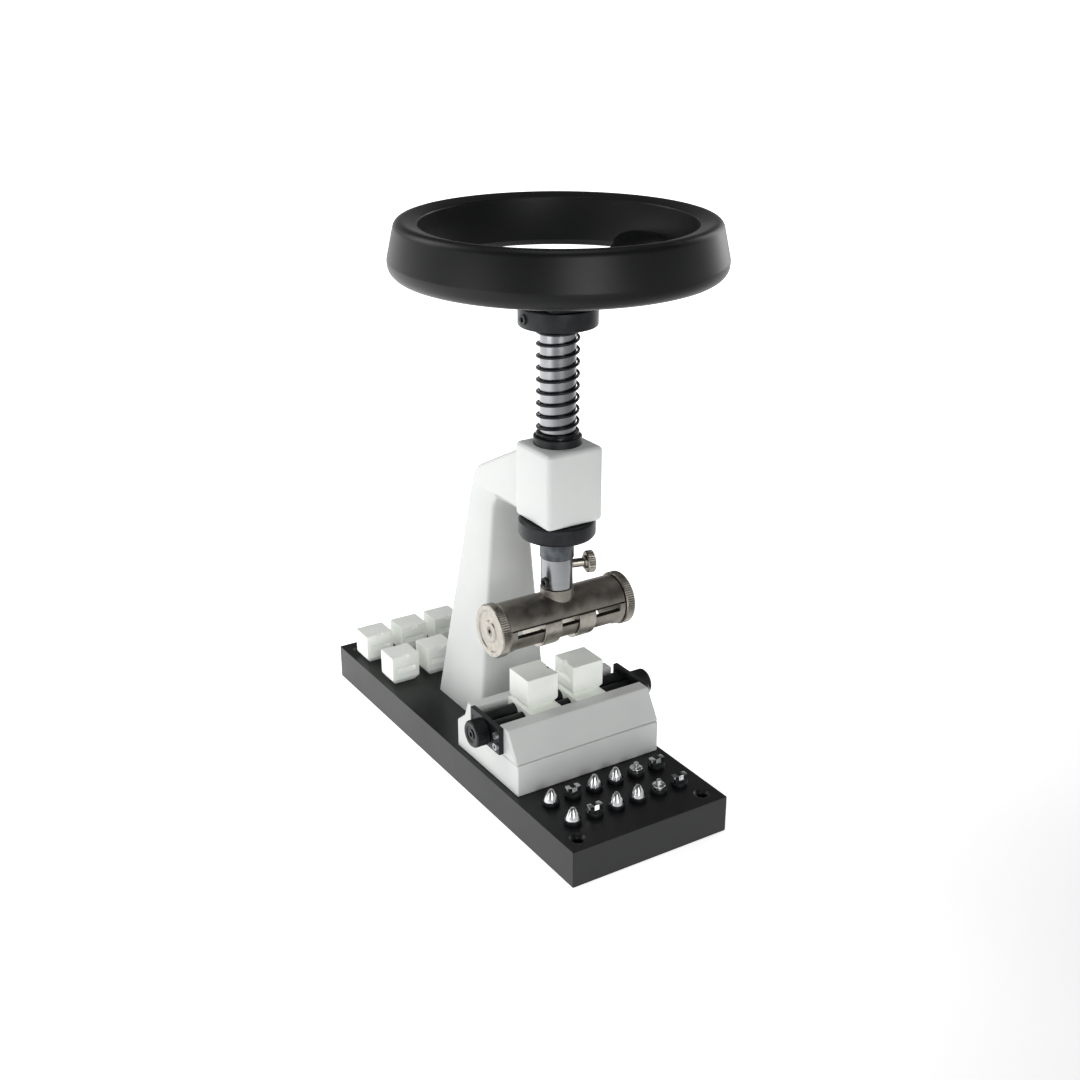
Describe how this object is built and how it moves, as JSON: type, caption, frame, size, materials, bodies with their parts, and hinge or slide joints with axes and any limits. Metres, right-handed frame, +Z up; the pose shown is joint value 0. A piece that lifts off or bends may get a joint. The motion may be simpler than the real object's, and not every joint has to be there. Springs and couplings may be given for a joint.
{
  "type": "bench press opener for screwed watch case backs",
  "caption": "Bench watch case opener: twin-jaw case vice and spare jaws and bits on a base plate, under a handwheel spindle with spring, chuck and adjustable opener head.",
  "frame": {"origin": "centre of the underside of the base plate, which rests on the bench", "axes": "+Z up along the spindle; -Y towards the user, where the vice and the bits are; +X to the right along the vice screw"},
  "size_m": [0.155, 0.25, 0.2917],
  "materials": {
    "base_black": "satin black enamel on a milled base plate",
    "casting_grey": "light grey semi-gloss enamel on castings",
    "wheel_black": "soft matte black powder coat",
    "black_oxide": "black oxide on turned and milled steel",
    "spindle_steel": "ground bright steel",
    "spring_steel": "oil-tempered black spring wire",
    "sleeve_steel": "dark burnished steel",
    "head_steel": "brushed gunmetal-nickel steel, warm grey",
    "knob_steel": "turned nickel-plated steel",
    "screw_steel": "zinc-plated fasteners",
    "jaw_nylon": "milky white nylon, slightly translucent",
    "bit_steel": "polished steel tips on dark stems"
  },
  "bodies": {
    "root": {"base_plate": "base_black", "c_frame": "casting_grey", "frame_bolts": "black_oxide", "upper_bush": "black_oxide", "lower_bush": "black_oxide", "vice_body": "casting_grey", "vice_bolts": "black_oxide", "vice_front_rail": "casting_grey", "rail_screws": "black_oxide", "vice_plate_left": "black_oxide", "vice_plate_right": "black_oxide", "plate_screws": "screw_steel", "guide_rod": "black_oxide", "jaw_pegs": "screw_steel", "return_spring": "spring_steel", "spare_jaw_1": "jaw_nylon", "spare_jaw_2": "jaw_nylon", "spare_jaw_3": "jaw_nylon", "spare_jaw_4": "jaw_nylon", "spare_jaw_5": "jaw_nylon", "spare_jaw_6": "jaw_nylon", "spare_jaw_7": "jaw_nylon", "spare_jaw_8": "jaw_nylon", "spare_bits_1": "bit_steel", "spare_bits_2": "bit_steel", "spare_bits_3": "bit_steel", "spare_bits_4": "bit_steel", "spare_bits_5": "bit_steel", "spare_bits_6": "bit_steel"},
    "slider": {"spring_washer": "black_oxide"},
    "spindle": {"spindle": "spindle_steel", "hub_collar": "black_oxide", "collar_set_screw": "black_oxide", "handwheel": "wheel_black", "wheel_washer": "screw_steel", "wheel_screw": "screw_steel", "stop_ring": "black_oxide", "chuck_sleeve": "sleeve_steel", "chuck": "spindle_steel", "chuck_set_screw": "black_oxide", "opener_tube": "head_steel"},
    "thumb_screw": {"thumb_screw": "knob_steel"},
    "opener_screw": {"opener_screw": "head_steel", "opener_knob_left": "knob_steel", "opener_knob_right": "knob_steel"},
    "bit_carrier_left": {"bit_carrier_left": "knob_steel"},
    "bit_carrier_right": {"bit_carrier_right": "knob_steel"},
    "vice_screw": {"vice_screw": "black_oxide", "vice_knob_left": "black_oxide", "vice_knob_right": "black_oxide"},
    "jaw_left": {"jaw_carrier_left": "jaw_nylon", "jaw_left": "jaw_nylon"},
    "jaw_right": {"jaw_carrier_right": "jaw_nylon", "jaw_right": "jaw_nylon"}
  },
  "joints": [
    {"name": "spindle_plunge", "type": "slide", "parent": "root", "child": "slider", "axis": [0, 0, -1], "range_m": [0, 0.0135], "stiffness_N_per_m": 1490, "springref_m": -0.018, "deforming": ["return_spring"]},
    {"name": "spindle_turn", "type": "hinge", "parent": "slider", "child": "spindle", "pos_m": [0, -0.0406, 0.2], "axis": [0, 0, 1], "continuous": true},
    {"name": "thumb_screw_turn", "type": "hinge", "parent": "spindle", "child": "thumb_screw", "pos_m": [0, -0.0406, 0.12194], "axis": [0.9659, -0.2588, 0], "continuous": true},
    {"name": "opener_screw_turn", "type": "hinge", "parent": "spindle", "child": "opener_screw", "pos_m": [0, -0.0406, 0.0958], "axis": [1, 0, 0], "range_deg": [-740, 2540]},
    {"name": "bit_slide_left", "type": "slide", "parent": "spindle", "child": "bit_carrier_left", "axis": [-1, 0, 0], "range_m": [-0.004, 0.014]},
    {"name": "bit_slide_right", "type": "slide", "parent": "spindle", "child": "bit_carrier_right", "axis": [1, 0, 0], "range_m": [-0.0041, 0.0141]},
    {"name": "vice_screw_turn", "type": "hinge", "parent": "root", "child": "vice_screw", "pos_m": [0, -0.0446, 0.0448], "axis": [1, 0, 0], "range_deg": [-740, 3440]},
    {"name": "jaw_slide_left", "type": "slide", "parent": "root", "child": "jaw_left", "axis": [-1, 0, 0], "range_m": [-0.004, 0.019]},
    {"name": "jaw_slide_right", "type": "slide", "parent": "root", "child": "jaw_right", "axis": [1, 0, 0], "range_m": [-0.0041, 0.0191]}
  ],
  "couplings": [
    {"joint": "bit_slide_right", "follows": "bit_slide_left", "ratio": 1},
    {"joint": "opener_screw_turn", "follows": "bit_slide_left", "rad_per_m": 3141.6},
    {"joint": "jaw_slide_right", "follows": "jaw_slide_left", "ratio": 1},
    {"joint": "vice_screw_turn", "follows": "jaw_slide_left", "rad_per_m": 3141.6}
  ]
}
